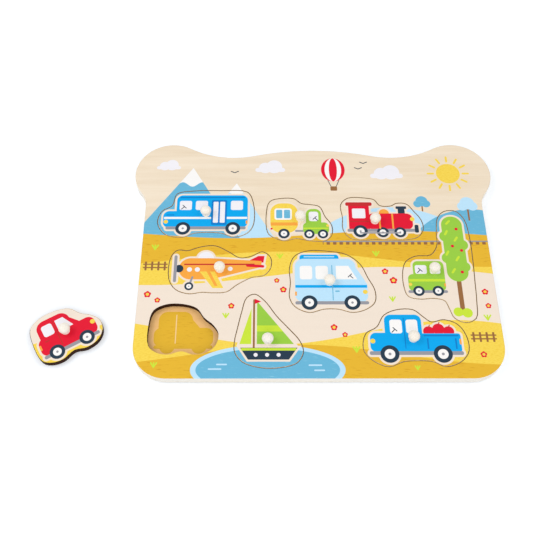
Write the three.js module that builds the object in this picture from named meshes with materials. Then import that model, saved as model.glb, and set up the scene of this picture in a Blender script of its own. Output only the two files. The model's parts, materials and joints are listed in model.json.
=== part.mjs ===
// Wooden inset puzzle for small children. A plywood board with rounded ears has nine cut-outs and a glued
// backing sheet, which makes each cut-out a shallow recess. Nine inserts, cut from the same sheet along the
// same paths, lift out by small turned knobs. Eight inserts are seated, and one lies on the table beside
// the board, so its recess is empty.
//
// Millimetres, +Z up. The origin is the middle of the board's underside, +X to the right, +Y to the ears.

import * as THREE from 'three';

// The board's outline
const BODY_WIDTH = 277.6; // between the straight sides
const BOARD_HEIGHT = 213.4; // from the straight bottom edge to the top of the ears
const CORNER_RADIUS = 26; // at the two bottom corners
const EAR_RADIUS = 30.8;
const EAR_OVERHANG = 11.2; // of an ear past the straight side below it
const NECK_RADIUS = 21; // of the hollow under each ear
const DIP_RADIUS = 77; // of the hollow between an ear and the crown
const CROWN_RADIUS = 222; // of the swelling in the middle of the top edge
const CROWN_DROP = 6; // from the top of the ears to the top of the crown

// The two sheets, and the cuts
const TOP_THICKNESS = 5; // the printed sheet, which the inserts are cut from
const BACK_THICKNESS = 4; // the backing, whose face is the floor of the recesses
const EDGE_ROUND = 1; // sanded round along the board's outer edges
const CUT_GAP = 0.4; // the width that the cut takes away between an insert and the board
const INSERT_EASE = 0.4; // sanded along an insert's edges

// The knobs, turned on a lathe with a tenon below
const HEAD_DIAMETER = 8.8;
const HEAD_HEIGHT = 3.4; // from the head's widest ring up to the top of its dome
const NECK_DIAMETER = 5.4;
const NECK_HEIGHT = 1.6; // from the shoulder up to the waist
const FLARE_HEIGHT = 3; // from the waist up to the head's widest ring
const SHOULDER_DIAMETER = 6.6; // the foot of the knob, which sits on the insert
const TENON_DIAMETER = 4;
const TENON_CLEARANCE = 0.1; // on the radius, filled by the glue
const TENON_SHORT = 0.4; // how far the tenon stops above the insert's underside

// The insert that lies beside the board
const LOOSE_GAP = 24.2; // between it and the board's straight side
const LOOSE_RISE = 39.9; // of its knob above the board's straight bottom edge, as seen from above
const LOOSE_TURN = 30; // degrees anticlockwise from the way it lies in its recess

// Fineness of the curves
const CHORD_RISE = 0.06; // how far an arc stands off the straight facet between two of its points
const CURVE_STEPS = 4; // points from one mark of a cut path to the next
const ROUND_STEPS = 3; // facets across the board's sanded round
const EASE_STEPS = 1; // facets across an insert's eased edge
const LATHE_STEPS = 14; // facets around a knob
const PROFILE_STEPS = 3; // facets along each curve of a knob's profile

// Colours, and how rough each finish is
const BARE_WOOD = 0xf3e4cf;
const KNOB_WOOD = 0xf6e6cb;
const BACK_WOOD = 0xd9b27c;
const PRINTED = 0.45;
const TURNED = 0.5;
const SAWN = 0.7;

// Each cut path is a smooth closed curve through a few marks, anticlockwise. Marks and knobs are given as
// percentages of the board's width and height from its middle, so that the picture grows with the board.
const PIECES = [
  {
    name: 'bus',
    colour: 0x1a9bea,
    knob: [-31.9, 16.9],
    marks: [
      [-43.6, 7.5], [-38.5, 6.2], [-34.9, 8], [-27.4, 8], [-23.4, 6.2], [-19.5, 8.2],
      [-17.8, 12.2], [-18, 22], [-19.8, 26.9], [-27.4, 27.6], [-36, 27.4], [-40.9, 26],
      [-42.1, 20.6], [-45, 18], [-46.1, 12.7],
    ],
  },
  {
    name: 'caravan',
    colour: 0xf2cf45,
    knob: [-4.2, 14.7],
    marks: [
      [-13.7, 8], [-11.9, 6], [-9, 4.6], [-5.4, 5.6], [-1.4, 4.6], [2.9, 4.6],
      [5, 7.5], [5, 11.7], [3.2, 15.5], [1.6, 20.1], [-1.4, 21.1], [-3.8, 21.6],
      [-5.8, 23.7], [-9.7, 23.9], [-13.1, 22.5], [-14.2, 16.9],
    ],
  },
  {
    name: 'locomotive',
    colour: 0xe02c40,
    knob: [17.7, 13.5],
    marks: [
      [8.2, 9.6], [10.2, 5.8], [14, 4.9], [17.6, 5.3], [21.6, 5], [26.4, 5.1],
      [29.8, 6.2], [31.7, 9.8], [31.3, 14.1], [29.5, 17.8], [27.4, 21.3], [24.5, 21.6],
      [22.7, 20.4], [19.5, 20.6], [18, 23.2], [15.1, 24.1], [10.1, 24], [7.9, 21], [8.2, 15],
    ],
  },
  {
    name: 'van',
    colour: 0x8fce3c,
    knob: [33.3, -7.9],
    marks: [
      [24.3, -14.5], [25.3, -18.7], [28.5, -19.9], [32.4, -19.6], [35.3, -20.6], [36.3, -23.8],
      [37.4, -27.4], [40.4, -29.2], [43.4, -27.4], [44.2, -20.6], [44.5, -13.1], [44.8, -3.7],
      [44.8, 6.6], [44, 14.1], [41.8, 17.9], [38.4, 17.9], [36.2, 15], [35.3, 8.4],
      [34.9, 2.3], [32.8, -1.4], [28.5, -1.9], [25.6, -4.2], [24.4, -8.4],
    ],
  },
  {
    name: 'plane',
    colour: 0xf7a53a,
    knob: [-27.3, -7.5],
    marks: [
      [-41.6, -11.4], [-39.5, -15.9], [-35.7, -17.7], [-32.1, -17.1], [-28.8, -17.3], [-25.2, -16.9],
      [-22.3, -14], [-18.2, -11], [-14.6, -10], [-12.8, -6.8], [-12.9, -2.4], [-15.2, 0],
      [-18.4, -1.9], [-21.6, -2.6], [-24.9, 0], [-28.8, 2.6], [-33.1, 2.1], [-36.7, 0.5],
      [-39.6, 0.7], [-41.4, -2.3],
    ],
  },
  {
    name: 'camper',
    colour: 0xaed8f2,
    knob: [3.6, -12.9],
    marks: [
      [-7.7, -19.2], [-6.1, -23], [-2.2, -25.2], [1.8, -23.9], [5.8, -23.9], [9.7, -25.2],
      [13.8, -23.7], [16.1, -20.8], [16.2, -16], [14.5, -11], [12.6, -5.4], [8.8, -1.2],
      [3.6, 0.2], [-2.2, 0.4], [-6.1, -1.9], [-7.6, -7], [-7.4, -13.1],
    ],
  },
  {
    name: 'pickup',
    colour: 0x1a9bea,
    knob: [25.5, -35.2],
    marks: [
      [11.9, -39.4], [14.1, -43.4], [18.4, -45.8], [22.3, -44], [26.3, -43.6], [30.3, -44],
      [33.5, -45.8], [37.8, -43.9], [40.2, -39.8], [39.9, -33.7], [37.8, -29.5], [34.2, -27.9],
      [31, -28.8], [28.8, -26.7], [26.3, -24], [21.6, -24], [18, -26.2], [15.9, -30.7], [12.8, -33.3],
    ],
  },
  {
    name: 'sailboat',
    colour: 0x8fce3c,
    knob: [-13.7, -36],
    marks: [
      [-22.6, -40.3], [-20.5, -44], [-15.9, -46.1], [-10.1, -46.1], [-5.8, -44.3], [-4.1, -40.3],
      [-5, -36.1], [-7.9, -31.4], [-11.2, -26.5], [-14.4, -20.6], [-17.3, -17.7], [-19.6, -19.2],
      [-20.9, -24.8], [-22, -31.4], [-22.7, -36.1],
    ],
  },
  {
    name: 'car',
    colour: 0xe02c40,
    knob: [-36.7, -31.2],
    loose: true,
    marks: [
      [-45.7, -38], [-43.3, -40.5], [-40.4, -41.1], [-36.8, -39.9], [-33.6, -41.1], [-30, -40.3],
      [-27.7, -37.5], [-27.1, -33.3], [-28.6, -30], [-31.1, -27.2], [-33.2, -23.5], [-37.2, -21.8],
      [-41.9, -22], [-45.1, -24.4], [-46.1, -30],
    ],
  },
];

function paint(colour, roughness) {
  return new THREE.MeshStandardMaterial({ color: colour, roughness, metalness: 0 });
}

// A place on the board from percentages of its width and height.
function onBoard([across, up]) {
  return new THREE.Vector2((across / 100) * BODY_WIDTH, (up / 100) * BOARD_HEIGHT);
}

// Points of an arc about a centre, from one angle to another, anticlockwise unless told otherwise.
function arc(centre, radius, from, to, clockwise = false) {
  const facet = 2 * Math.acos(1 - CHORD_RISE / radius);
  const steps = Math.ceil(Math.abs(to - from) / facet);
  const curve = new THREE.EllipseCurve(centre.x, centre.y, radius, radius, from, to, clockwise);
  return curve.getPoints(steps);
}

// The angle at which one centre sees another.
function bearing(from, to) {
  return Math.atan2(to.y - from.y, to.x - from.x);
}

// The centre of a hollow that touches two round edges: the crossing, on the upper side, of two circles.
function hollowCentre(a, reachA, b, reachB) {
  const apart = a.distanceTo(b);
  const along = (reachA ** 2 - reachB ** 2 + apart ** 2) / (2 * apart);
  const aside = Math.sqrt(reachA ** 2 - along ** 2);
  const way = b.clone().sub(a).divideScalar(apart);
  const square = new THREE.Vector2(-way.y, way.x);
  if (square.y < 0) square.negate();
  return a.clone().addScaledVector(way, along).addScaledVector(square, aside);
}

// The board's outline, anticlockwise: lines and arcs that meet smoothly. The left half mirrors the right.
function boardOutline() {
  const side = BODY_WIDTH / 2;
  const half = BOARD_HEIGHT / 2;
  const corner = new THREE.Vector2(side - CORNER_RADIUS, CORNER_RADIUS - half);
  const ear = new THREE.Vector2(side + EAR_OVERHANG - EAR_RADIUS, half - EAR_RADIUS);
  const crown = new THREE.Vector2(0, half - CROWN_DROP - CROWN_RADIUS);
  const neckOut = side + NECK_RADIUS - ear.x;
  const neckDown = Math.sqrt((EAR_RADIUS + NECK_RADIUS) ** 2 - neckOut ** 2);
  const neck = new THREE.Vector2(ear.x + neckOut, ear.y - neckDown);
  const dip = hollowCentre(ear, EAR_RADIUS + DIP_RADIUS, crown, CROWN_RADIUS + DIP_RADIUS);
  const right = [
    ...arc(corner, CORNER_RADIUS, -Math.PI / 2, 0),
    ...arc(neck, NECK_RADIUS, Math.PI, bearing(neck, ear), true),
    ...arc(ear, EAR_RADIUS, bearing(ear, neck), bearing(ear, dip)).slice(1),
    ...arc(dip, DIP_RADIUS, bearing(dip, ear), bearing(dip, crown), true).slice(1),
    ...arc(crown, CROWN_RADIUS, bearing(crown, dip), Math.PI / 2).slice(1),
  ];
  const left = right.slice(0, -1).reverse();
  return [...right, ...left.map((p) => new THREE.Vector2(-p.x, p.y))];
}

// The path that the saw follows around one insert, in board coordinates.
function cutPath(piece) {
  const marks = piece.marks.map((mark) => new THREE.Vector3(...onBoard(mark), 0));
  const curve = new THREE.CatmullRomCurve3(marks, true);
  const points = curve.getPoints(marks.length * CURVE_STEPS).slice(0, -1);
  return points.map((p) => new THREE.Vector2(p.x, p.y));
}

// A closed outline moved to its left by a distance: inwards on an anticlockwise one, or else outwards.
function moved(outline, distance) {
  return outline.map((point, i) => {
    const before = outline.at(i - 1);
    const after = outline[(i + 1) % outline.length];
    const way = after.clone().sub(before).normalize();
    return new THREE.Vector2(point.x - way.y * distance, point.y + way.x * distance);
  });
}

// The steps of an edge from one face of a sheet to the other: how far in, and how high. Without a round the
// edge is square.
function edgeSteps(bottom, top, bottomRound, topRound, facets) {
  const steps = [];
  for (let i = bottomRound > 0 ? 0 : facets; i <= facets; i++) {
    const turn = (i / facets) * (Math.PI / 2);
    const [inset, rise] = [bottomRound * (1 - Math.sin(turn)), bottomRound * (1 - Math.cos(turn))];
    steps.push({ inset, z: bottom + rise });
  }
  for (let i = topRound > 0 ? 0 : facets; i <= facets; i++) {
    const turn = (i / facets) * (Math.PI / 2);
    const [inset, drop] = [topRound * (1 - Math.cos(turn)), topRound * (1 - Math.sin(turn))];
    steps.push({ inset, z: top - drop });
  }
  return steps;
}

// A flat sheet with holes: its outline is anticlockwise, its holes clockwise, and each has its edge steps.
function sheet(outline, outlineSteps, holes, holeSteps) {
  const positions = [];
  const index = [];
  const bottomRings = [];
  const topRings = [];
  const addWall = (contour, steps) => {
    const rings = steps.map(({ inset, z }) => {
      const first = positions.length / 3;
      const ring = moved(contour, inset);
      ring.forEach((p) => positions.push(p.x, p.y, z));
      return { ring, first };
    });
    for (let level = 0; level + 1 < rings.length; level++) {
      for (let i = 0; i < contour.length; i++) {
        const next = (i + 1) % contour.length;
        const [low, high] = [rings[level].first, rings[level + 1].first];
        index.push(low + i, low + next, high + next, low + i, high + next, high + i);
      }
    }
    bottomRings.push(rings[0]);
    topRings.push(rings.at(-1));
  };
  const addFace = (rings, faceUp) => {
    const numbers = rings.flatMap(({ ring, first }) => ring.map((_, i) => first + i));
    const [outer, ...inner] = rings.map(({ ring }) => ring);
    for (const [a, b, c] of THREE.ShapeUtils.triangulateShape(outer, inner)) {
      index.push(numbers[a], numbers[faceUp ? b : c], numbers[faceUp ? c : b]);
    }
  };
  addWall(outline, outlineSteps);
  holes.forEach((hole) => addWall(hole, holeSteps));
  addFace(bottomRings, false);
  addFace(topRings, true);
  const geometry = new THREE.BufferGeometry();
  geometry.setAttribute('position', new THREE.Float32BufferAttribute(positions, 3));
  geometry.setIndex(index);
  geometry.computeVertexNormals();
  return geometry;
}

function named(name, geometry, material) {
  const mesh = new THREE.Mesh(geometry, material);
  mesh.name = name;
  return mesh;
}

// The backing: a plain sheet with its lower outer edge rounded.
function backBoard() {
  const steps = edgeSteps(0, BACK_THICKNESS, EDGE_ROUND, 0, ROUND_STEPS);
  return named('back_board', sheet(boardOutline(), steps, [], []), paint(BACK_WOOD, SAWN));
}

// The printed sheet: the same outline with its upper outer edge rounded, and the nine cut-outs.
function topBoard() {
  const [bottom, top] = [BACK_THICKNESS, BACK_THICKNESS + TOP_THICKNESS];
  const cutOuts = PIECES.map((piece) => moved(cutPath(piece).reverse(), CUT_GAP / 2));
  const outerSteps = edgeSteps(bottom, top, 0, EDGE_ROUND, ROUND_STEPS);
  const cutSteps = edgeSteps(bottom, top, 0, 0, 1);
  const geometry = sheet(boardOutline(), outerSteps, cutOuts, cutSteps);
  return named('top_board', geometry, paint(BARE_WOOD, PRINTED));
}

// An insert about the axis of its knob, standing on z = 0, with the hole for the knob's tenon.
function insert(piece) {
  const knob = onBoard(piece.knob);
  const outline = moved(cutPath(piece), CUT_GAP / 2).map((p) => p.sub(knob));
  const middle = new THREE.Vector2();
  const hole = [];
  for (let i = 0; i < LATHE_STEPS; i++) {
    const turn = (-i / LATHE_STEPS) * 2 * Math.PI;
    hole.push(new THREE.Vector2(TENON_DIAMETER / 2 + TENON_CLEARANCE, 0).rotateAround(middle, turn));
  }
  const outerSteps = edgeSteps(0, TOP_THICKNESS, INSERT_EASE, INSERT_EASE, EASE_STEPS);
  const holeSteps = edgeSteps(0, TOP_THICKNESS, 0, 0, 1);
  const geometry = sheet(outline, outerSteps, [hole], holeSteps);
  return named(`${piece.name}_insert`, geometry, paint(piece.colour, PRINTED));
}

// A knob on the same axis: a tenon in the insert's hole, a shoulder on its face, a waist and a domed head.
function knob(piece) {
  const shoulder = TOP_THICKNESS;
  const waist = shoulder + NECK_HEIGHT;
  const widest = waist + FLARE_HEIGHT;
  const summit = widest + HEAD_HEIGHT;
  const head = HEAD_DIAMETER / 2;
  const neck = NECK_DIAMETER / 2;
  const profile = new THREE.Path();
  profile.moveTo(0, TENON_SHORT);
  profile.lineTo(TENON_DIAMETER / 2, TENON_SHORT);
  profile.lineTo(TENON_DIAMETER / 2, shoulder);
  profile.lineTo(SHOULDER_DIAMETER / 2, shoulder);
  profile.quadraticCurveTo(neck, shoulder, neck, waist);
  profile.bezierCurveTo(neck, waist + FLARE_HEIGHT / 2, head, waist + FLARE_HEIGHT / 2, head, widest);
  profile.absellipse(0, widest, head, HEAD_HEIGHT, 0, Math.PI / 2, false, 0);
  const points = profile.getPoints(PROFILE_STEPS);
  points.at(-1).set(0, summit);
  const geometry = new THREE.LatheGeometry(points, LATHE_STEPS);
  geometry.rotateX(Math.PI / 2);
  return named(`${piece.name}_knob`, geometry, paint(KNOB_WOOD, TURNED));
}

// An insert with its knob, in its recess or lying on the table.
function insertWithKnob(piece) {
  const group = new THREE.Group();
  group.add(insert(piece), knob(piece));
  if (!piece.loose) {
    group.position.set(...onBoard(piece.knob), BACK_THICKNESS);
    return group;
  }
  const turn = THREE.MathUtils.degToRad(LOOSE_TURN);
  const axis = onBoard(piece.knob);
  const turned = cutPath(piece).map((p) => p.rotateAround(axis, turn).sub(axis));
  const reach = Math.max(...turned.map((p) => p.x));
  group.position.set(-BODY_WIDTH / 2 - LOOSE_GAP - reach, LOOSE_RISE - BOARD_HEIGHT / 2, 0);
  group.rotation.z = turn;
  return group;
}

const puzzle = new THREE.Group();
puzzle.name = 'inset_puzzle';
puzzle.add(backBoard(), topBoard(), ...PIECES.map(insertWithKnob));

export default puzzle;
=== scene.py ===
# %% [markdown]
# # A wooden inset puzzle
# A child's puzzle is a printed plywood board with cut-outs, a backing sheet glued under it, and inserts
# that lift out by small turned knobs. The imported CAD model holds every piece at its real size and
# place, so this lesson only gives each piece its finished mesh, its wood and its printed picture. One
# of the nine inserts lies beside the board, and its recess is empty.

import json
import math
from functools import reduce

import bmesh
import bpy
from mathutils import Matrix, Vector

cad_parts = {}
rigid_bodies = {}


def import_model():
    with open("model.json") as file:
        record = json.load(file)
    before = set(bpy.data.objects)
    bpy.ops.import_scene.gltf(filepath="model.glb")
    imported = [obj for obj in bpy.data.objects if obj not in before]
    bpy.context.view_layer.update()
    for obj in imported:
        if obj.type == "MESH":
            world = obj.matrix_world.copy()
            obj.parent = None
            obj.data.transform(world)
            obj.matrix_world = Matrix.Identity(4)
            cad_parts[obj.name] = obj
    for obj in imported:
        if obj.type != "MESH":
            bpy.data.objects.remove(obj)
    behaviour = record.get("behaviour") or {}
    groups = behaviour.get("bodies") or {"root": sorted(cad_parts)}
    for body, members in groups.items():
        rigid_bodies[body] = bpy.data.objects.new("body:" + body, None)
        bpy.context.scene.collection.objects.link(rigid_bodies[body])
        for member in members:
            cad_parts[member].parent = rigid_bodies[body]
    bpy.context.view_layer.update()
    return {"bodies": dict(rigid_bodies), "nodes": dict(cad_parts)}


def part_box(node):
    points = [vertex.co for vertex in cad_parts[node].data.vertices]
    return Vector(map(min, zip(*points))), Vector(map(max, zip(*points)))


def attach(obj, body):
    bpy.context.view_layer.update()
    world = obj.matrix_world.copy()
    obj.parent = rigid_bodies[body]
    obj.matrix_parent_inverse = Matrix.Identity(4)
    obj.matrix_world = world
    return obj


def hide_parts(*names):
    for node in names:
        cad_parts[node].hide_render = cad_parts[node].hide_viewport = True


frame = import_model()
scene = bpy.context.scene
INSERTS = [name for name in frame["bodies"] if name != "board"]
MM = 0.001
print("inserts:", ", ".join(INSERTS))

# %% [markdown]
# ## Camera
# The picture is taken from in front and well above, so that the board's face shows with a little of its
# front edge. A camera can be turned by hand, but two points are easier to reason about: where the eye
# is, and what it looks at. The turn then follows from the line between them.

# %% Camera
EYE = Vector((-36.5, -298.9, 526.3)) * MM
AIM = Vector((-36.3, -16.7, 9)) * MM
LENS = 50

camera = bpy.data.objects.new("camera", bpy.data.cameras.new("camera"))
camera.data.lens = LENS
camera.location = EYE
camera.rotation_euler = (AIM - EYE).to_track_quat("-Z", "Y").to_euler()
scene.collection.objects.link(camera)
bpy.context.scene.camera = camera
print("camera looks down by", round(math.degrees(math.asin((EYE - AIM).normalized().z)), 1), "degrees")

# %% [markdown]
# ## Shader maths as Python
# A printed picture is made of discs, bars and rounded boxes, and each is a small formula of the place
# on the board. Wiring hundreds of Math nodes by hand is slow to write and to read, so one class wraps a
# socket and gives it Python's operators: an expression then adds the nodes by itself. Numbers use Math
# nodes, and vectors use Vector Math nodes, because a Math node would flatten a vector to one number.

# %% A socket with operators
FAR = 1000.0  # beyond every edge, in millimetres


class Field:
    """A value that varies over a surface: one output of a shader node."""

    def __init__(self, wiring, socket):
        self.wiring = wiring
        self.socket = socket

    def work(self, operation, *terms, output=0, clamp=False):
        flat = all(isinstance(t, (int, float)) or getattr(t, "plain", False) for t in terms)
        settings = {"operation": operation}
        if flat and clamp:
            settings["use_clamp"] = True
        kind = "Math" if flat else "VectorMath"
        return self.wiring.node(kind, settings, dict(enumerate(terms)), output)

    @property
    def plain(self):
        return self.socket.type == "VALUE"

    def __add__(self, other):
        return self.work("ADD", self, other)

    def __sub__(self, other):
        return self.work("SUBTRACT", self, other)

    def __rsub__(self, other):
        return self.work("SUBTRACT", other, self)

    def __mul__(self, other):
        return self.work("MULTIPLY", self, other)

    def __abs__(self):
        return self.work("ABSOLUTE", self)

    __radd__ = __add__
    __rmul__ = __mul__

    def least(self, other):
        return self.work("MINIMUM", self, other)

    def most(self, other):
        return self.work("MAXIMUM", self, other)

    def sine(self):
        return self.work("SINE", self)

    def ramp(self, slope, start):
        """slope times the value plus start, kept between 0 and 1."""
        return self.work("MULTIPLY_ADD", self, slope, start, clamp=True)

    def length(self):
        return self.work("LENGTH", self, output=1)

    def dot(self, other):
        return self.work("DOT_PRODUCT", self, other, output=1)

    def along(self, run):
        """A fixed vector times this value."""
        return self.wiring.node("VectorMath", {"operation": "SCALE"}, {0: run, "Scale": self})

    def wrapped(self, pitch):
        """The place folded into one pitch across the board."""
        ends = {1: (pitch / 2, FAR, FAR), 2: (-pitch / 2, -FAR, -FAR)}
        return self.wiring.node("VectorMath", {"operation": "WRAP"}, {0: self, **ends})


print("a Field adds its own nodes")


# %% The one method that adds nodes
class Wiring:
    """The nodes of a material or of the world."""

    def __init__(self, tree):
        self.tree = tree

    def node(self, kind, settings=None, inputs=None, output=0):
        made = self.tree.nodes.new("ShaderNode" + kind)
        for name, value in (settings or {}).items():
            setattr(made, name, value)
        self.feed(made, inputs or {})
        return Field(self, made.outputs[output])

    def feed(self, node, inputs):
        for key, value in inputs.items():
            if isinstance(value, Field):
                self.tree.links.new(value.socket, node.inputs[key])
            else:
                node.inputs[key].default_value = value


print("a Wiring makes nodes from a type, settings and inputs")


# %% A material
MILLIMETRES = (1000, 1000, 1000)
COVER, UNDER, OVER, MIXED = 0, 6, 7, 2  # a Mix node's factor, its two colours and the colour it gives


class Finish(Wiring):
    """A material with one Principled shader. Colours are laid over each other with Mix nodes."""

    def __init__(self, name, roughness, specular=0.18):
        self.material = bpy.data.materials.new(name)
        self.material.use_nodes = True
        super().__init__(self.material.node_tree)
        self.shader = self.tree.nodes["Principled BSDF"]
        self.feed(self.shader, {"Roughness": roughness, "Specular IOR Level": specular})

    def place(self, scale=MILLIMETRES, turn=0.0, shift=(0, 0, 0)):
        """The place on the piece, scaled, turned about the vertical and shifted."""
        spot = self.node("TexCoord", output="Object")
        inputs = {"Vector": spot, "Scale": scale, "Rotation": (0, 0, turn), "Location": shift}
        return self.node("Mapping", {}, inputs)

    def noise(self, place, detail):
        return self.node("TexNoise", {}, {"Vector": place, "Scale": 1.0, "Detail": detail})

    def lay(self, under, over, cover, blend="MIX"):
        settings = {"data_type": "RGBA", "blend_type": blend}
        return self.node("Mix", settings, {COVER: cover, UNDER: under, OVER: over}, MIXED)

    def bump(self, height, strength, distance):
        return self.node("Bump", {}, {"Height": height, "Strength": strength, "Distance": distance})

    def done(self, colour, **varying):
        self.feed(self.shader, {"Base Color": colour, **varying})
        print(self.material.name, "has", len(self.tree.nodes), "nodes")
        return self.material


def ink(code):
    """A colour written as six sRGB digits, as the shader wants it: linear, with full alpha."""
    shares = [int(code[i : i + 2], 16) / 255 for i in (0, 2, 4)]
    linear = [s / 12.92 if s <= 0.04045 else ((s + 0.055) / 1.055) ** 2.4 for s in shares]
    return (*linear, 1.0)


print("white is", ink("ffffff"))

# %% [markdown]
# ## Inks
# The board is screen printed with a few opaque colours on bare birch: warm yellows for the fields,
# blues for the hills and water, and clear bright colours for the vehicles. Each shape could carry a
# colour of its own, but naming the inks once keeps the picture in one palette.

# %% The palette
INKS = {
    "white": ink("fdfbf9"),
    "cream": ink("f5e6d6"),
    "glass": ink("f5f3f9"),
    "mustard": ink("eab933"),
    "yellow": ink("fcdc58"),
    "orange": ink("fbaa44"),
    "red": ink("e61634"),
    "brick": ink("c62f30"),
    "blue": ink("00abf2"),
    "deep_blue": ink("0780cf"),
    "pale_blue": ink("c0e7fe"),
    "steel": ink("6cb9db"),
    "green": ink("9cd046"),
    "lime": ink("cce83e"),
    "tan": ink("fbd49a"),
    "brown": ink("9b6b40"),
    "grey": ink("9a9aa2"),
    "slate": ink("263a4c"),
}
print(len(INKS), "inks")

# %% [markdown]
# ## Drawing with distances
# Each shape is a function that gives the distance from its edge in millimetres, less than zero inside.
# The least of several distances is their union, a margin round a shape is the same distance with a few
# millimetres taken off, and a crisp printed edge is the distance passed through a steep ramp. A picture
# could also be cut into the mesh, but distances keep the board's face flat and stay sharp at any size.


# %% Round shapes, boxes and bars
def disc(x, y, radius):
    return lambda p: (p - (x, y, 0)).length() - radius


def oval(x, y, wide, high):
    return lambda p: ((p - (x, y, 0)) * (high / wide, 1, 0)).length() - high


def box(left, right, low, high, corner=0.4):
    middle = ((left + right) / 2, (low + high) / 2, 0)
    reach = ((right - left) / 2 - corner, (high - low) / 2 - corner, FAR)
    return lambda p: (abs(p - middle) - reach).most((0, 0, 0)).length() - corner


def bar(x0, y0, x1, y1, width):
    run = Vector((x1 - x0, y1 - y0, 0))
    share = tuple(run / run.length_squared)

    def distance(p):
        start = p - (x0, y0, 0)
        return (start - start.dot(share).ramp(1, 0).along(tuple(run))).length() - width / 2

    return distance


print("shapes: disc, oval, box, bar")


# %% Polygons, wavy ground and joined shapes
def nearest(distances):
    return reduce(Field.least, distances)


def corners(*points):
    """A polygon with no hollows, its corners in anticlockwise order."""

    def side(p, x0, y0, x1, y1):
        out = Vector((y1 - y0, x0 - x1, 0)).normalized()
        return p.dot(tuple(out)) - (out.x * x0 + out.y * y0)

    sides = [(*start, *end) for start, end in zip(points, points[1:] + points[:1])]
    return lambda p: reduce(Field.most, (side(p, *ends) for ends in sides))


def both(first, second):
    return lambda p: first(p).most(second(p))


def without(first, second):
    return lambda p: first(p).most(0 - second(p))


def below(level, height, stretch, phase):
    """All that lies under a wavy line."""

    def distance(p):
        swell = (p.dot((1 / stretch, 0, 0)) + phase).sine()
        return p.dot((0, 1, 0)) - level - height * swell

    return distance


def row(shape, pitch):
    """A shape repeated across the board."""
    return lambda p: shape(p.wrapped(pitch))


print("shapes: corners, both, without, below, row")

# %% [markdown]
# ## The motifs
# Nine everyday vehicles, drawn as plain shapes in board millimetres. Each has a body, then wheels, and
# then trim such as windows, lamps and doors. A seam is the fine line that shows on the flat silhouette
# in the recess. The shapes are kept in lists, apart from any material, so that one drawing serves for
# the print, for the pale margin round it and for the silhouette.


# %% A steering wheel
def steering(x, y, way):
    """A steering wheel seen from the side, on its column."""
    column = bar(x, y, x + 2.4 * way, y + 2.4, 0.7)
    return column, bar(x + way, y + 3.8, x + 3.8 * way, y + 1, 0.7)


MOTIFS = {}
print("a steering wheel has", len(steering(0, 0, 1)), "bars")

# %% Bus
MOTIFS["bus"] = {
    "body": [
        ("blue", box(-113, -54.5, 22.6, 54, 5), box(-123.5, -106, 22.6, 38.5, 5)),
        ("grey", box(-121, -56, 20.8, 23.6, 1.2)),
    ],
    "wheels": [(-107, 21.8, 6), (-66.5, 21.8, 6)],
    "trim": [
        ("deep_blue", box(-110.5, -57, 51.2, 52.4), box(-121, -114.5, 34.2, 35.2)),
        ("white", box(-122.8, -55, 30.8, 32.8)),
        ("glass", box(-110.6, -100.6, 39.5, 48.5, 1.6), box(-97.4, -87.4, 39.5, 48.5, 1.6)),
        ("glass", box(-68.5, -58.5, 39.5, 48.5, 1.6)),
        ("slate", *steering(-109, 40.4, 1)),
        ("deep_blue", box(-84.4, -71.6, 25, 49.4, 1.5)),
        ("glass", box(-82.8, -78.7, 27.2, 47.6, 0.8), box(-77.3, -73.2, 27.2, 47.6, 0.8)),
        ("yellow", disc(-121.2, 28.2, 1.8)),
        ("orange", box(-56, -54.6, 26, 29.4, 0.5)),
    ],
    "seam": box(-99.4, -98.6, 24, 50),
}
print("bus:", len(MOTIFS["bus"]["trim"]), "layers of trim")

# %% Caravan and car
MOTIFS["caravan"] = {
    "body": [
        ("grey", box(-16, -6, 18.4, 20.2, 0.8)),
        ("yellow", box(-36, -13.5, 17.4, 46, 9)),
        ("green", box(-9.5, 11.6, 16.4, 27.4, 4), box(-7, 5.5, 22, 40.4, 5)),
    ],
    "wheels": [(-25, 16.8, 4.6), (-4.5, 16.4, 4.2), (6.5, 16.4, 4.2)],
    "trim": [
        ("orange", box(-35.6, -13.9, 24.4, 27.4)),
        ("white", box(-32.6, -18.4, 30, 41, 2)),
        ("steel", box(-31.2, -26.2, 31.4, 39.6, 1), box(-24.8, -19.8, 31.4, 39.6, 1)),
        ("glass", box(-4.6, 3.2, 28.6, 37.8, 2)),
        ("slate", *steering(2.6, 29.4, -1)),
        ("lime", box(-9, 11, 21.2, 22.4)),
        ("yellow", disc(10.5, 24.4, 1.2)),
        ("red", disc(-35, 21.4, 0.9)),
    ],
    "seam": box(-1.2, -0.6, 18, 38),
}
print("caravan:", len(MOTIFS["caravan"]["trim"]), "layers of trim")

# %% Locomotive
MOTIFS["locomotive"] = {
    "body": [
        ("slate", box(68.6, 74.2, 34, 42, 0.6), box(67, 75.8, 40.4, 43, 0.8)),
        ("orange", disc(57, 36, 4.2)),
        ("red", box(28, 45, 20, 45, 1.5), box(43, 80, 20.6, 36, 5)),
        ("brick", box(25.8, 47.6, 43.4, 47, 1.4)),
        ("grey", box(26.5, 83, 18.4, 21.2, 1)),
        ("slate", box(81, 84.2, 17.6, 25, 1)),
    ],
    "wheels": [(37, 19, 5.8), (55, 18, 4.8), (69, 18, 4.8)],
    "trim": [
        ("glass", box(31, 41.8, 31.4, 40.8, 1.2)),
        ("brick", box(28.4, 44.6, 27.8, 29)),
        ("orange", box(52.4, 53.8, 21.3, 35.9), box(63, 64.4, 21.3, 35.9)),
        ("yellow", disc(79.8, 30.5, 1.9)),
        ("grey", bar(37, 17.4, 69, 17.4, 1.3)),
    ],
    "seam": box(44.6, 45.3, 22, 36),
}
print("locomotive:", len(MOTIFS["locomotive"]["trim"]), "layers of trim")

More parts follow.
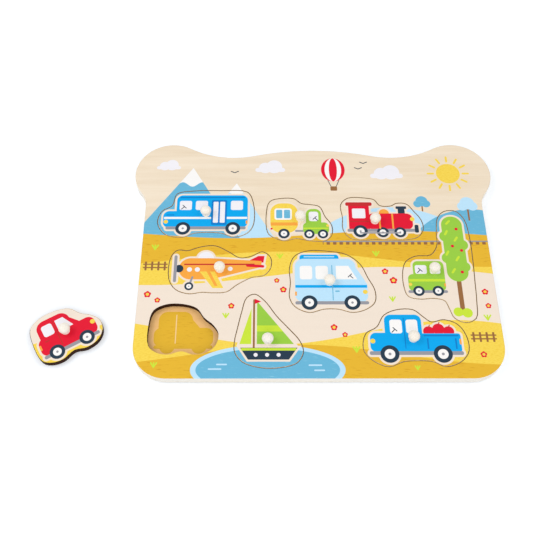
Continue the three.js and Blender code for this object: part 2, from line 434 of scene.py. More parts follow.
# %% Van and tree
CROWN = box(102.6, 119.4, -27, 33, 8.4)
MOTIFS["van"] = {
    "body": [
        ("brown", box(109.2, 112.8, -56, -20, 1)),
        ("green", CROWN, disc(105, 14, 5), disc(117.2, 6, 5), disc(104.8, -6, 5), disc(117, -14, 4.6)),
        ("lime", disc(107.4, -53.2, 3.8), disc(114.2, -54, 4)),
        ("green", box(76, 100.4, -35.4, -8.8, 4), box(71.5, 84, -35.4, -20.4, 4)),
        ("grey", box(70.8, 101.4, -37, -34.6, 1.2)),
    ],
    "wheels": [(79, -35.2, 4.4), (94, -35.2, 4.4)],
    "trim": [
        ("lime", bar(107, 26, 109.4, 28.6, 1.8), bar(105, 16, 106.6, 19, 1.8), bar(112, 10, 114, 13, 1.8)),
        ("lime", bar(104, -3, 105.6, 0, 1.8), bar(111.4, -8, 113.4, -5, 1.8), bar(107, -19, 109, -16, 1.8)),
        ("red", disc(114.4, 21, 1.3), disc(109.6, 5, 1.3), disc(116.4, 1, 1.3), disc(114.6, -18.6, 1.3)),
        ("lime", box(72.2, 100.2, -27, -24.8)),
        ("glass", box(77.6, 86.8, -20.2, -12.4, 1.6), box(89.2, 97.4, -20.2, -12.4, 1.6)),
        ("slate", *steering(79.4, -19, 1)),
        ("yellow", disc(72.9, -29.4, 1.4)),
        ("orange", box(99.2, 100.5, -31.4, -28.6, 0.5)),
    ],
    "seam": box(87.7, 88.3, -33.6, -12),
}
print("van:", len(MOTIFS["van"]["trim"]), "layers of trim")

# %% Plane
MOTIFS["plane"] = {
    "body": [
        ("glass", disc(-87, -6.6, 6.4)),
        ("red", corners((-56, -10), (-41.5, -10), (-40.6, -4), (-45.5, -4))),
        ("orange", box(-108, -74, -25, -6, 9.3), corners((-82, -24.9), (-43, -14), (-43, -8.6), (-82, -6.1))),
        ("grey", bar(-97, -23, -99.4, -31, 1.6)),
        ("red", bar(-54, -12.6, -42, -13.4, 2.4)),
        ("yellow", corners((-81, -32.6), (-72.5, -32.6), (-79.6, -18), (-91.6, -18))),
        ("slate", disc(-107.8, -15.4, 3.4)),
        ("grey", box(-112, -109.6, -27.4, -3.4, 1.2)),
    ],
    "wheels": [(-99.4, -31, 3.5)],
    "trim": [
        ("brick", box(-104, -48.5, -12.2, -11)),
        ("glass", disc(-99.6, -16.2, 2), disc(-93.4, -16.2, 2), disc(-67.6, -15.6, 1.9)),
        ("orange", corners((-79.4, -30.8), (-77, -30.8), (-83.4, -18), (-86, -18))),
    ],
    "seam": bar(-87, -19, -77, -31, 0.8),
}
print("plane:", len(MOTIFS["plane"]["trim"]), "layers of trim")

# %% Camper van
MOTIFS["camper"] = {
    "body": [
        ("blue", box(-13, 18, -9, -2.8, 2.5)),
        ("pale_blue", box(-16.9, 31, -45, -6.6, 7), box(20, 39.4, -45, -25, 6), bar(26, -12.6, 34.2, -27, 7)),
        ("grey", box(-16.8, 39.8, -46.8, -44, 1.3)),
    ],
    "wheels": [(-6, -45.2, 6.2), (27, -45.2, 6.2)],
    "trim": [
        ("blue", box(-16.6, 39.1, -32.4, -30)),
        ("pale_blue", box(-9.6, 14.6, -5.2, -4.3)),
        ("white", box(-13, -3.2, -25, -13, 2), box(-0.6, 9.2, -25, -13, 2)),
        ("white", corners((15.4, -25), (31.8, -25), (25.4, -13), (15.4, -13))),
        ("slate", *steering(28.6, -24, -1)),
        ("steel", box(12, 12.7, -43.4, -12.2), box(14.2, 17.6, -36, -34.8)),
        ("yellow", disc(37.4, -36, 1.9)),
        ("orange", box(-16.9, -15.5, -39.4, -35.6, 0.6)),
    ],
    "seam": box(11.9, 12.7, -43, -12),
}
print("camper:", len(MOTIFS["camper"]["trim"]), "layers of trim")

# %% Pickup
STALKS = [(83, -66.6), (90.5, -64.4), (98, -66.6)]
MOTIFS["pickup"] = {
    "body": [
        ("red", disc(83, -69.4, 4.2), disc(90.5, -67.6, 4.6), disc(98, -69.4, 4.2)),
        ("blue", box(50, 78, -86, -55.5, 5), box(38.5, 60, -86, -70.5, 4.5), box(68, 106.5, -86, -71, 2)),
        ("grey", box(37.6, 107.4, -88.4, -85.4, 1.3)),
    ],
    "wheels": [(52.5, -87.6, 7), (92, -87.6, 7)],
    "trim": [
        ("brick", *[bar(x, y, x + 1, y + 2.3, 0.8) for x, y in STALKS]),
        ("white", box(54, 63.2, -71, -59.6, 2), box(66.2, 75, -71, -59.6, 2)),
        ("slate", *steering(55.4, -70, 1)),
        ("deep_blue", box(64.4, 65.1, -83.4, -58), box(67, 70.6, -76, -74.7), box(79, 105, -73.4, -72.2)),
        ("deep_blue", box(81, 82.2, -83.6, -75), box(102, 103.2, -83.6, -75)),
        ("yellow", disc(40.4, -77.2, 1.9)),
        ("orange", box(105.3, 106.7, -80, -75.4, 0.6)),
    ],
    "seam": box(64.4, 65.2, -83, -58),
}
print("pickup:", len(MOTIFS["pickup"]["trim"]), "layers of trim")

# %% Sailing boat
SAIL = corners((-46.2, -79.6), (-18.5, -79.6), (-46.2, -44))
MOTIFS["sailboat"] = {
    "body": [
        ("brown", box(-49.2, -47.7, -84, -42.4, 0.6)),
        ("green", SAIL),
        ("lime", corners((-59.2, -79.6), (-50.4, -79.6), (-50.4, -50))),
        ("slate", corners((-58.6, -82.5), (-52.6, -92), (-22.4, -92), (-15.9, -82.5))),
    ],
    "wheels": [],
    "trim": [
        ("lime", both(SAIL, box(-60, 0, -69.4, -64.4)), box(-57.8, -16.8, -84.8, -82.8)),
        ("red", corners((-48, -46.4), (-43, -44.2), (-48, -42))),
        ("glass", disc(-47, -88.2, 1.5), disc(-38.5, -88.2, 1.5), disc(-30, -88.2, 1.5)),
    ],
    "seam": box(-48.8, -48.2, -80, -44),
}
print("sailboat:", len(MOTIFS["sailboat"]["trim"]), "layers of trim")

# %% Car
BONNET = bar(-100.3, -55.1, -91.3, -66.1, 5)
MOTIFS["car"] = {
    "body": [
        ("red", box(-124.3, -79.3, -79.5, -64.1, 5.5), box(-121.3, -95.3, -72.1, -50.6, 7), BONNET),
        ("grey", box(-123.9, -79.7, -81.3, -78.5, 1.2)),
    ],
    "wheels": [(-113.8, -79.5, 5.8), (-89.8, -79.5, 5.8)],
    "trim": [
        ("glass", box(-117.7, -109.3, -64.5, -54.7, 2)),
        ("glass", corners((-106.3, -64.5), (-94.7, -64.5), (-99.7, -54.7), (-106.3, -54.7))),
        ("brick", box(-108.2, -107.5, -76.7, -53.1), box(-118.9, -115.3, -68.5, -67.3)),
        ("yellow", disc(-81.1, -69.6, 1.9)),
        ("orange", box(-124.3, -122.8, -73.1, -68.7, 0.5)),
    ],
    "seam": box(-108.2, -107.4, -77.1, -53.1),
}
print("car:", len(MOTIFS["car"]["trim"]), "layers of trim")

# %% [markdown]
# ## The landscape
# Fields, hills, a railway and a pond run across the whole sheet, because the sheet is printed first and
# cut afterwards: the same landscape shows on the board and on the inserts, and matches where they meet.
# Small things such as clouds, flowers and birds are printed on the board alone.

# %% Hills, fields and water
PEAK = corners((-152, 8), (-58, 8), (-101, 82))
LOW_PEAK = corners((-104, 8), (-30, 8), (-64, 66))
TRACK = box(6, FAR, 4, 13)
LANDSCAPE = [
    ("pale_blue", LOW_PEAK, disc(62, -46, 88)),
    ("white", without(LOW_PEAK, below(55, 1.6, 2.1, 3.77))),
    ("steel", PEAK, disc(128, -18, 58)),
    ("white", without(PEAK, below(65, 2.2, 2.6, 5.86))),
    ("mustard", below(16, 3.5, 41, 0)),
    ("brown", both(TRACK, row(box(-1.4, 1.4, 6.4, 9), 5.2))),
    ("grey", both(TRACK, box(-FAR, FAR, 8.8, 10))),
    ("yellow", below(-7, 7, 52, 2.1)),
    ("cream", below(-22, 8, 60, 0.6)),
    ("yellow", below(-70, 10, 44, -0.8)),
    ("mustard", below(-88, 8, 50, 1.9)),
    ("pale_blue", oval(-38, -100, 57, 20)),
    ("steel", oval(-38, -100, 53, 17)),
]
print(len(LANDSCAPE), "layers of landscape")


# %% Small things that repeat
def around(x, y, reach, turn):
    return x + reach * math.cos(turn), y + reach * math.sin(turn)


def cloud(x, y, size):
    flat = box(x - 3 * size, x + 3 * size, y - size, y, size / 2)
    return [flat, disc(x - size, y, 1.3 * size), disc(x + 0.8 * size, y + 0.3 * size, 1.6 * size)]


def flower(x, y, size):
    return [disc(*around(x, y, size, 0.3 + i * math.tau / 5), 0.8 * size) for i in range(5)]


def tuft(x, y, size):
    return [bar(x, y, x + size * lean, y + size, 0.3 * size) for lean in (-0.6, 0, 0.6)]


def tree(x, y, size):
    low, aside = y - 0.5 * size, 0.7 * size
    return [disc(x, y, size), disc(x - aside, low, aside), disc(x + aside, low, aside)]


def bird(x, y):
    return [bar(x - 3, y + 1.4, x, y, 0.8), bar(x, y, x + 3, y + 1.4, 0.8)]


def fence(x, y):
    posts = [box(x + 5 * i, x + 5 * i + 1.6, y, y + 8) for i in range(4)]
    return posts + [box(x - 1.4, x + 18, y + up, y + up + 1.1) for up in (2, 5)]


def each(draw, places):
    """The shapes of a small thing, drawn once at every place."""
    return [shape for place in places for shape in draw(*place)]


print("a flower has", len(flower(0, 0, 1)), "petals")

# %% Small things on the board
SUN = (114, 76)
RAYS = [i * math.tau / 12 for i in range(12)]
CLOUDS = [(-36, 82, 4.2), (62, 76, 4.6), (-122, 84, 3.4)]
FLOWERS = [(-131, -38, 1.6), (-123, -43, 1.3), (-26, -34, 1.5), (-31, -26, 1.2), (54, -18, 1.5)]
FLOWERS += [(60, -26, 1.7), (50, -60, 1.3), (130, -36, 1.5), (131, -48, 1.3), (12, -66, 1.5)]
FLOWERS += [(20, -72, 1.2), (-66, -48, 1.4), (122, -88, 1.4)]
TUFTS = [(-128, 2, 4), (-28.5, -6, 3.6), (48, -4, 4), (58, -44, 3.6), (129, -60, 4), (28, -86, 4)]
TUFTS += [(-70, -58, 3.6), (-122, -98, 3.6), (72, -100, 3)]
RIPPLES = [(-82, -100, 10), (-76, -96.4, 8), (-8, -97, 10), (-4, -101, 8)]
SCATTER = [
    ("yellow", disc(*SUN, 10)),
    ("yellow", *[bar(*around(*SUN, 12.5, turn), *around(*SUN, 17, turn), 1.8) for turn in RAYS]),
    ("glass", *each(cloud, CLOUDS)),
    ("red", oval(17, 80, 10, 12)),
    ("white", without(oval(17, 80, 7, 12), oval(17, 80, 3.4, 12))),
    ("slate", bar(12.4, 69, 14.8, 63, 0.6), bar(21.6, 69, 19.2, 63, 0.6)),
    ("brown", box(14.2, 19.8, 58.6, 63, 1)),
    ("slate", *each(bird, [(43, 86.6), (38.4, 80.8), (-66, 77)])),
    ("brown", box(88.4, 89.6, 38, 46), box(125.6, 127, 29, 43)),
    ("steel", *tree(89, 48, 5)),
    ("pale_blue", *tree(126.3, 46, 6)),
    ("brown", *each(fence, [(-135, -17), (115.5, -78)])),
    ("lime", *each(tuft, TUFTS)),
    ("red", *each(flower, FLOWERS)),
    ("yellow", *[disc(x, y, 0.8 * size) for x, y, size in FLOWERS]),
    ("pale_blue", *[box(x, x + long, y, y + 1.2, 0.6) for x, y, long in RIPPLES]),
]
print(len(SCATTER), "layers of small things")

# %% [markdown]
# ## Bare wood
# The sheets are birch plywood: a pale cream face with a quiet straight grain. A picture of veneer could
# be wrapped over them, but it would blur close up, so noise makes the grain. Wide noise gives the soft
# figure of a peeled veneer, noise stretched along the grain gives its streaks, and finer noise gives
# the short darker pores. The grain also drives a very shallow bump, because a sanded and varnished face
# is almost smooth.

# %% Birch
PALE_BIRCH = ink("fbeeda")
DARK_BIRCH = ink("ebd6b8")
FIGURE = ((0.007, 0.045, 0.045), 1, 0.4)  # stretch, detail and share of each noise
STREAKS = ((0.012, 0.22, 0.22), 3, 0.42)
PORES = ((0.10, 1.9, 1.9), 2, 0.18)
GRAIN_RAMP = (1.8, -0.4)


def birch(finish, place, pale, dark):
    """Colour and grain of a straight-grained face, the grain along x."""
    noises = (FIGURE, STREAKS, PORES)
    shares = [finish.noise(place * stretch, detail) * share for stretch, detail, share in noises]
    grain = reduce(Field.__add__, shares)
    return finish.lay(dark, pale, grain.ramp(*GRAIN_RAMP)), grain


print("birch from", PALE_BIRCH[:3], "to", DARK_BIRCH[:3])

# %% [markdown]
# ## Printed faces
# The picture is laid over the wood one ink after another, as a screen printer does, so shapes may
# overlap: the later ink covers the earlier one. The big fields are not quite even: the yellow has a
# fine weave, and the mustard and the steel blue have short dashes that were drawn on the screens. Over
# everything lies a trace of the wood's own texture, which opaque ink never hides completely.

# %% Screens with marks
MARKS = {  # the marks' colour, the stretch of their noise and its ramp
    "yellow": (ink("f3cd44"), (0.45, 1.3, 0), 3.0, -1.3),
    "mustard": (ink("d79f24"), (0.13, 1.15, 0), 9.0, -5.6),
    "steel": (ink("8acbe5"), (0.16, 0.9, 0), 9.0, -5.8),
}
print("marks on", ", ".join(MARKS))

# %% Ink over wood
FLAT_MILLIMETRES = (1000, 1000, 0)
INK_EDGE = 0.14  # the soft border of a printed shape, in millimetres
MARGIN = 1.6  # the pale border round a vehicle, in millimetres
WHEEL_DISC, HUB = 0.56, 0.16  # shares of a wheel's radius
WEAVE = (1.3, 4.2, 0)  # stretch of the fine unevenness of the ink
SHADE_RAMP = (0.3, 0.85)  # how the tooth of wood and ink darkens the colour
SHEEN_RAMP = (0.3, 0.35)  # and how rough it leaves the varnish
SANDED = (0.06, 0.0002)  # strength and depth of a sanded surface's bump


class Sheet(Finish):
    """The printed face of one piece, drawn in board millimetres."""

    def __init__(self, name, turn=0.0, shift=(0, 0, 0), pale=PALE_BIRCH, dark=DARK_BIRCH):
        super().__init__(name, roughness=0.5, specular=0.12)
        self.spot = self.place(FLAT_MILLIMETRES, turn, shift)
        self.colour, self.grain = birch(self, self.spot, pale, dark)
        self.screens = {}

    def screen(self, colour):
        """One ink, with the marks of its screen where it has some."""
        if colour not in self.screens:
            tone = INKS[colour]
            if colour in MARKS:
                other, stretch, slope, start = MARKS[colour]
                dashes = self.noise(self.spot * stretch, detail=1)
                tone = self.lay(tone, other, dashes.ramp(slope, start))
            self.screens[colour] = tone
        return self.screens[colour]

    def stamp(self, colour, distance):
        self.colour = self.lay(self.colour, self.screen(colour), distance.ramp(-1 / INK_EDGE, 0.5))

    def draw(self, layers):
        for colour, *shapes in layers:
            self.stamp(colour, nearest(shape(self.spot) for shape in shapes))

    def motif(self, motif):
        solids = motif["body"] + [("slate", disc(*wheel)) for wheel in motif["wheels"]]
        layers = [(colour, nearest(shape(self.spot) for shape in shapes)) for colour, *shapes in solids]
        self.stamp("cream", nearest(distance for _, distance in layers) - MARGIN)
        for colour, distance in layers:
            self.stamp(colour, distance)
        self.draw([("white", disc(x, y, r * WHEEL_DISC)) for x, y, r in motif["wheels"]])
        self.draw([("grey", disc(x, y, r * HUB)) for x, y, r in motif["wheels"]])
        self.draw(motif["trim"])

    def varnished(self):
        weave = self.noise(self.spot * WEAVE, detail=1)
        tooth = self.grain * 0.5 + weave * 0.5
        shade = tooth.ramp(*SHADE_RAMP)
        tint = self.node("CombineColor", {}, {"Red": shade, "Green": shade, "Blue": shade})
        colour = self.lay(self.colour, tint, cover=1.0, blend="MULTIPLY")
        sanded = self.bump(self.grain, *SANDED)
        return self.done(colour, Roughness=tooth.ramp(*SHEEN_RAMP), Normal=sanded)


board_print = Sheet("board_print")
board_print.draw(LANDSCAPE)
board_print.draw(SCATTER)
print_of_board = board_print.varnished()

# %% [markdown]
# ## The inserts' prints
# An insert shows the landscape, then the pale margin and its vehicle. The insert that lies beside the
# board is turned, and its print is turned with it. That picture could be drawn again where the insert
# lies, but a Mapping node that brings each point back to the recess lets it use the same shapes.

# %% Prints of the nine inserts
EMPTY_RECESS = Vector((-101.9, -66.6, 0))  # the place of the knob when the insert is in the board
LOOSE = "car"
LOOSE_TURN = math.radians(30)


def insert_print(name):
    turn, shift = 0.0, Vector()
    if name == LOOSE:
        turn = -LOOSE_TURN
        low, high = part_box(name + "_knob")
        knob = (low + high) / 2 / MM
        shift = EMPTY_RECESS - Matrix.Rotation(turn, 3, "Z") @ Vector((knob.x, knob.y, 0))
    face = Sheet(name + "_face", turn, tuple(shift))
    face.draw(LANDSCAPE)
    face.motif(MOTIFS[name])
    return face.varnished()


insert_prints = {name: insert_print(name) for name in INSERTS}
print("printed", len(insert_prints), "inserts")

# %% [markdown]
# ## Edges, floors and knobs
# The saw leaves the cut walls scorched almost black. Round the seated inserts the walls are painted
# lighter, to tan, near the top: painted light that stands in for light reaching into the narrow gaps.
# The eased rims of the inserts are only singed. The sanded outer edge shows the plies, the floor of a
# recess is tan with a flat silhouette, and the knobs are turned from pale beech.
# The floors are printed as the faces are. The rest could be painted wall by wall, but two tones of
# wood mixed by one noise cover every wall at once, without a seam.

# %% Two tones of wood
BURNT_STREAKS = (2.2, -0.6)  # slope and start of the ramp from dark to pale
WOOD_STREAKS = (2.4, -0.7)


def streaked(finish, place, dark, pale, ramp):
    """A colour between two tones, and the noise that mixes them."""
    streaks = finish.noise(place, detail=3)
    return finish.lay(dark, pale, streaks.ramp(*ramp)), streaks


print("ramps of the streaks:", BURNT_STREAKS, WOOD_STREAKS)

# %% Scorched walls
# The third colour is a tan painted near the top of the walls round the seated inserts: painted light,
# standing in for light that reaches into the narrow gaps.
CHARRED, SCORCHED, PAINTED_GAP_LIGHT = ink("1e0b03"), ink("3d1e0c"), ink("d2b286")
SAW_MARKS = (1.1, 1.1, 0.25)
SAWN = (0.25, 0.0003)  # strength and depth of a sawn surface's bump
UP = (0, 0, 1)
BOARD_TOP = 9.0  # height of the printed face, in millimetres
PAINTED_LIGHT_DEPTH = 1.6  # and how far below it the walls are painted lighter, as painted light


def scorched_wall(name, painted_light_depth=0.0):
    """Almost black; with a depth given, painted lighter towards the top as painted light in the narrow gaps.
    """
    finish = Finish(name, roughness=0.8, specular=0.15)
    place = finish.place()
    colour, streaks = streaked(finish, place * SAW_MARKS, CHARRED, SCORCHED, BURNT_STREAKS)
    if painted_light_depth:
        painted_light_share = place.dot(UP).ramp(1 / painted_light_depth, 1 - BOARD_TOP / painted_light_depth)
        colour = finish.lay(colour, PAINTED_GAP_LIGHT, painted_light_share)
    return finish.done(colour, Normal=finish.bump(streaks, *SAWN))


WALL = scorched_wall("scorched_wall")
# The walls round the seated inserts: scorched, with painted light near the top.
PAINTED_LIGHT_KERF = scorched_wall("kerf_wall_painted_light", PAINTED_LIGHT_DEPTH)

# %% Plywood edges
DARK_PLY, PALE_PLY, GLUE = ink("f8f1e4"), ink("fffdf8"), ink("d9bf94")
PLY_FIBRES = (0.5, 0.5, 3.0)
GLUE_LINES = (1.3, 2.7, 4.0, 5.6, 7.4)  # heights, in millimetres
GLUE_RAMP = (-6.0, 0.9)
CUT_FIBRES = (0.15, 0.0003)  # strength and depth of the outer edge's bump


def ply_edge():
    finish = Finish("ply_edge", roughness=0.6)
    place = finish.place()
    colour, fibres = streaked(finish, place * PLY_FIBRES, DARK_PLY, PALE_PLY, WOOD_STREAKS)
    height = place.dot(UP)
    glue = nearest(abs(height - z) for z in GLUE_LINES)
    colour = finish.lay(colour, GLUE, glue.ramp(*GLUE_RAMP))
    return finish.done(colour, Normal=finish.bump(fibres, *CUT_FIBRES))


EDGE_WOOD = ply_edge()

# %% Singed rims
DARK_RIM, PALE_RIM = ink("b48f60"), ink("e0c8a0")
RIM_PATCHES = (0.6, 0.6, 0.6)


def singed_rim():
    finish = Finish("singed_rim", roughness=0.7)
    colour, _ = streaked(finish, finish.place() * RIM_PATCHES, DARK_RIM, PALE_RIM, BURNT_STREAKS)
    return finish.done(colour)


RIM = singed_rim()

# %% The backing's faces
PALE_FLOOR, DARK_FLOOR = ink("ffd290"), ink("f3b974")


def recess_floor():
    floor = Sheet("recess_floor", pale=PALE_FLOOR, dark=DARK_FLOOR)
    for name in INSERTS:
        motif = MOTIFS[name]
        shapes = [shape for _, *shapes in motif["body"] for shape in shapes]
        shapes += [disc(*wheel) for wheel in motif["wheels"]]
        floor.draw([("mustard", *shapes), ("tan", motif["seam"])])
    return floor.varnished()


FLOOR = recess_floor()
BARE = Sheet("bare_face").varnished()

# %% Turned beech
DARK_BEECH, PALE_BEECH = ink("f7ecdb"), ink("fcf9f2")
BEECH_RAYS = (1.4, 1.4, 0.12)


def turned_beech():
    finish = Finish("turned_beech", roughness=0.45)
    colour, rays = streaked(finish, finish.place() * BEECH_RAYS, DARK_BEECH, PALE_BEECH, WOOD_STREAKS)
    return finish.done(colour, Normal=finish.bump(rays, *SANDED))


KNOB = turned_beech()

# %% [markdown]
# ## Finished meshes of the sheets
# The boards and inserts already have their true shape in the frame, so a copy of each mesh is joined,
# its faces are sorted into the printed face, the walls and the underside, and its edges are marked
# sharp where a flat face ends. Drawing the outlines again would only risk a poor fit along the cuts.

# %% Copying and sorting
JOIN = 1e-6  # corners this near are one, in metres
FLAT = 0.999  # the upward part of a normal, from which a face counts as flat
CREASE = math.radians(38)


def joined_copy(node):
    bm = bmesh.new()
    bm.from_mesh(frame["nodes"][node].data)
    bmesh.ops.remove_doubles(bm, verts=bm.verts, dist=JOIN)
    return bm


def smooth_curves(bm):
    """Smooth along curves, sharp at flat faces and at real edges."""
    for face in bm.faces:
        face.smooth = True
    for edge in bm.edges:
        flat = any(abs(face.normal.z) > FLAT for face in edge.link_faces)
        edge.smooth = not flat and edge.calc_face_angle(0) < CREASE


def finished(bm, name, body, node, materials):
    mesh = bpy.data.meshes.new(name)
    bm.to_mesh(mesh)
    bm.free()
    for material in materials:
        mesh.materials.append(material)
    piece = bpy.data.objects.new(name, mesh)
    scene.collection.objects.link(piece)
    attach(piece, body)
    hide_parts(node)
    return piece


def walls_of(bm):
    """The walls of a sheet, one list of faces for each contour."""
    left = {face for face in bm.faces if abs(face.normal.z) < FLAT}
    while left:
        wall, front = [], [left.pop()]
        while front:
            face = front.pop()
            wall.append(face)
            near = {other for edge in face.edges for other in edge.link_faces} & left
            left -= near
            front.extend(near)
        yield wall


print("pieces will be joined within", JOIN, "m")

# %% [markdown]
# ## The two boards
# The printed board has its picture on the flat face and over the upper part of the sanded round, bare
# plies on the rest of the outer edge, and scorched walls in the cut-outs: dark all the way up in the
# empty recess, and round the seated inserts painted lighter near the top, as painted light in the gaps.
# The backing has the floor of the recesses above and bare birch below. The faces could be picked by
# hand, but walking from face to face round each wall sorts any outline: the longest wall is the outer
# edge, and the others are cuts.

# %% Printed board and backing
FACE_SLOT, UNDER_SLOT, EDGE_SLOT, CUT_SLOT, PAINTED_LIGHT_KERF_SLOT = range(5)
UPWARD = 0.5  # the upward part of a normal, from which a rounded edge belongs to the top
RECESS_REACH = (33, 24)  # half the width and depth of the empty recess's box, in millimetres


def seated(face):
    """Whether a face lies outside the box of the empty recess."""
    spot = face.calc_center_median() / MM - EMPTY_RECESS
    return abs(spot.x) > RECESS_REACH[0] or abs(spot.y) > RECESS_REACH[1]


def sort_sheet(bm, outer_slot):
    """Gives each face its material slot. The longest wall is the outer one, and the others are cuts."""
    for face in bm.faces:
        face.material_index = FACE_SLOT if face.normal.z > 0 else UNDER_SLOT
    walls = sorted(walls_of(bm), key=len)
    for wall in walls:
        for face in wall:
            face.material_index = outer_slot if wall is walls[-1] else CUT_SLOT


def make_board(node, name, upper):
    bm = joined_copy(node)
    sort_sheet(bm, EDGE_SLOT)
    for face in bm.faces:
        if face.material_index == EDGE_SLOT and face.normal.z > UPWARD:
            face.material_index = FACE_SLOT
        # Round the seated inserts the cut walls carry painted light near the top.
        elif face.material_index == CUT_SLOT and seated(face):
            face.material_index = PAINTED_LIGHT_KERF_SLOT
    smooth_curves(bm)
    return finished(bm, name, "board", node, [upper, BARE, EDGE_WOOD, WALL, PAINTED_LIGHT_KERF])


boards = [make_board("top_board", "printed_board", print_of_board)]
boards.append(make_board("back_board", "backing_board", FLOOR))
print("boards:", ", ".join(piece.name for piece in boards))

# %% [markdown]
# ## The inserts
# An insert has its print on the flat face, a singed rim where the upper edge is eased, a scorched wall,
# and a bare underside with the end of the knob's tenon showing in its hole. Round a seated insert the
# wall is painted lighter near the top, as painted light in the gap. On the loose insert the front of
# the rim is as dark as the wall. The boards' sorting serves here too, because an insert's outline is
# one more cut.


# %% Nine inserts
def make_insert(name):
    bm = joined_copy(name + "_insert")
    sort_sheet(bm, CUT_SLOT)
    for face in bm.faces:
        # On the loose insert the rim's front faces keep the wall's dark material.
        dark_front = name == LOOSE and face.normal.y < 0
        if face.material_index == CUT_SLOT and face.normal.z > UPWARD and not dark_front:
            face.material_index = EDGE_SLOT
    smooth_curves(bm)
    # A seated insert's wall carries painted light near the top; the loose insert's wall is dark all the way.
    materials = [insert_prints[name], BARE, RIM, WALL if name == LOOSE else PAINTED_LIGHT_KERF]
    return finished(bm, name + "_piece", name, name + "_insert", materials)


pieces = [make_insert(name) for name in INSERTS]
print(len(pieces), "inserts finished")

# %% [markdown]
# ## The knobs
# A knob is turned on a lathe: a tenon, a shoulder that sits on the insert, a slim waist and a domed
# head. Spinning a profile about the axis is the same operation, and it gives a much rounder knob than
# the frame's facets.

# %% Nine turned knobs
INSERT_TOP = 5.0  # above the insert's underside, in millimetres like the lines below
TENON_FROM = 0.4  # the tenon ends this far above the underside
TENON, SHOULDER, WAIST, HEAD = 2.0, 3.3, 2.7, 4.4  # radii
WAIST_UP, FLARE_UP, DOME_UP = 1.6, 3.0, 3.4  # heights, each above the one before
TURNS = 48  # steps round the axis
STEPS = 8  # points along each curve of the profile


def knob_profile():
    """Radius and height above the underside, from the tenon's end to the top of the dome."""
    points = [(0, TENON_FROM), (TENON, TENON_FROM), (TENON, INSERT_TOP), (SHOULDER, INSERT_TOP)]
    waist = INSERT_TOP + WAIST_UP
    widest = waist + FLARE_UP
    shares = [i / STEPS for i in range(1, STEPS + 1)]
    for t in shares:
        left = (1 - t) ** 2
        points.append((WAIST + (SHOULDER - WAIST) * left, waist - WAIST_UP * left))
    for t in shares:
        swell = t * t * (3 - 2 * t)
        points.append((WAIST + (HEAD - WAIST) * swell, waist + FLARE_UP * t))
    for t in shares[:-1]:
        points.append((HEAD * math.cos(t * math.pi / 2), widest + DOME_UP * math.sin(t * math.pi / 2)))
    return points + [(0, widest + DOME_UP)]


def make_knob(name):
    low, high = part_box(name + "_knob")
    foot = Vector(((low.x + high.x) / 2, (low.y + high.y) / 2, low.z - TENON_FROM * MM))
    bm = bmesh.new()
    verts = [bm.verts.new(foot + Vector((r, 0, z)) * MM) for r, z in knob_profile()]
    edges = [bm.edges.new(pair) for pair in zip(verts, verts[1:])]
    spin = {"cent": foot, "axis": UP, "angle": math.tau, "steps": TURNS, "use_merge": True}
    bmesh.ops.spin(bm, geom=verts + edges, **spin)
    bmesh.ops.remove_doubles(bm, verts=bm.verts, dist=JOIN)
    bmesh.ops.recalc_face_normals(bm, faces=bm.faces)
    smooth_curves(bm)
    return finished(bm, name + "_turned_knob", name, name + "_knob", [KNOB])


knobs = [make_knob(name) for name in INSERTS]
print(len(knobs), "knobs turned")

# %% [markdown]
# ## Table and light
# The puzzle lies on a white table in soft light. The table is a plain pale surface that takes the
# shadow. It could be lit until it shows white, but then the wood would be too bright, so a little of
# its white is its own, for the camera and for reflections only. Far from the puzzle that white grows,
# until the table fades into the world, which is white to the camera too. An even world and three wide
# lamps, left, right and in front, keep the shadows soft and the front edge bright.

# %% White table
METRES = (1, 1, 1)
TABLE_SIZE = 1.6
TABLE_DROP = 0.0002  # keeps the table just below the puzzle
TABLE_WHITE = (0.85, 0.88, 0.92, 1)
PURE_WHITE = (1, 1, 1, 1)
OWN_WHITE = 0.22  # the table's own white near the puzzle
FADE = (0.7, 0.05)  # farther away: its growth with each metre, and its value at the middle


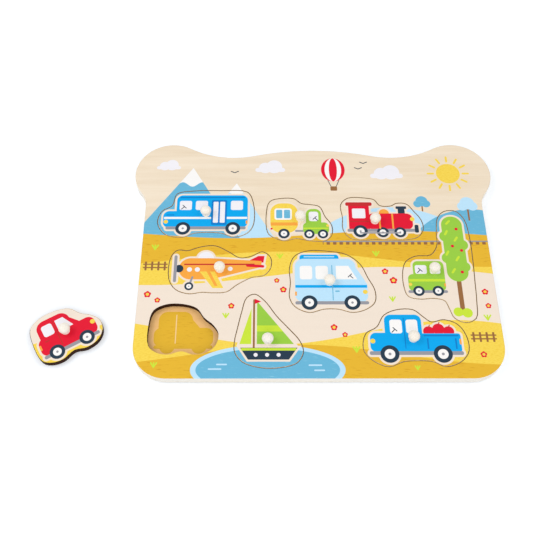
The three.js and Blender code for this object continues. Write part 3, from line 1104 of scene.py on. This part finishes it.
def shown(wiring):
    """1 where the camera or a reflection looks, 0 where light is gathered."""
    rays = ("Is Camera Ray", "Is Glossy Ray", "Is Transmission Ray")
    return reduce(Field.most, (wiring.node("LightPath", output=ray) for ray in rays))


def white_table():
    finish = Finish("white_table", roughness=0.9, specular=0.0)
    away = finish.place(METRES).length()
    own = away.ramp(*FADE).most(OWN_WHITE)
    glow = finish.node("Emission", {}, {"Color": PURE_WHITE, "Strength": shown(finish) * own})
    whole = finish.node("AddShader", {}, {0: Field(finish, finish.shader.outputs[0]), 1: glow})
    finish.feed(finish.tree.nodes["Material Output"], {"Surface": whole})
    return finish.done(TABLE_WHITE)


bm = bmesh.new()
bmesh.ops.create_grid(bm, x_segments=1, y_segments=1, size=TABLE_SIZE / 2)
bmesh.ops.translate(bm, verts=bm.verts, vec=(0, 0, -TABLE_DROP))
mesh = bpy.data.meshes.new("table")
bm.to_mesh(mesh)
bm.free()
mesh.materials.append(white_table())
table = bpy.data.objects.new("table", mesh)
scene.collection.objects.link(table)
print("table", TABLE_SIZE, "m wide")

# %% Lamps and world
SKY_LIGHT = 0.62  # what the world gives as light, where the camera sees 1
LAMPS = [  # name, place and size in metres, power in watts
    ("left_softbox", (-0.9, 0.1, 1.1), 0.7, 4.8),
    ("right_softbox", (0.9, 0.1, 1.2), 0.8, 3.4),
    ("front_softbox", (0, -1.2, 0.7), 1.0, 4.0),
]

scene.view_settings.view_transform = "Standard"
world = bpy.data.worlds.new("studio")
scene.world = world
world.use_nodes = True
sky = Wiring(world.node_tree)
strength = shown(sky) * (1 - SKY_LIGHT) + SKY_LIGHT
sky.feed(sky.tree.nodes["Background"], {"Color": PURE_WHITE, "Strength": strength})


def lamp(name, place, size, power):
    data = bpy.data.lights.new(name, "AREA")
    data.size = size
    data.energy = power
    made = bpy.data.objects.new(name, data)
    made.location = place
    made.rotation_euler = (-Vector(place)).to_track_quat("-Z", "Y").to_euler()
    scene.collection.objects.link(made)


for settings in LAMPS:
    lamp(*settings)
print(len(LAMPS), "lamps and an even world")
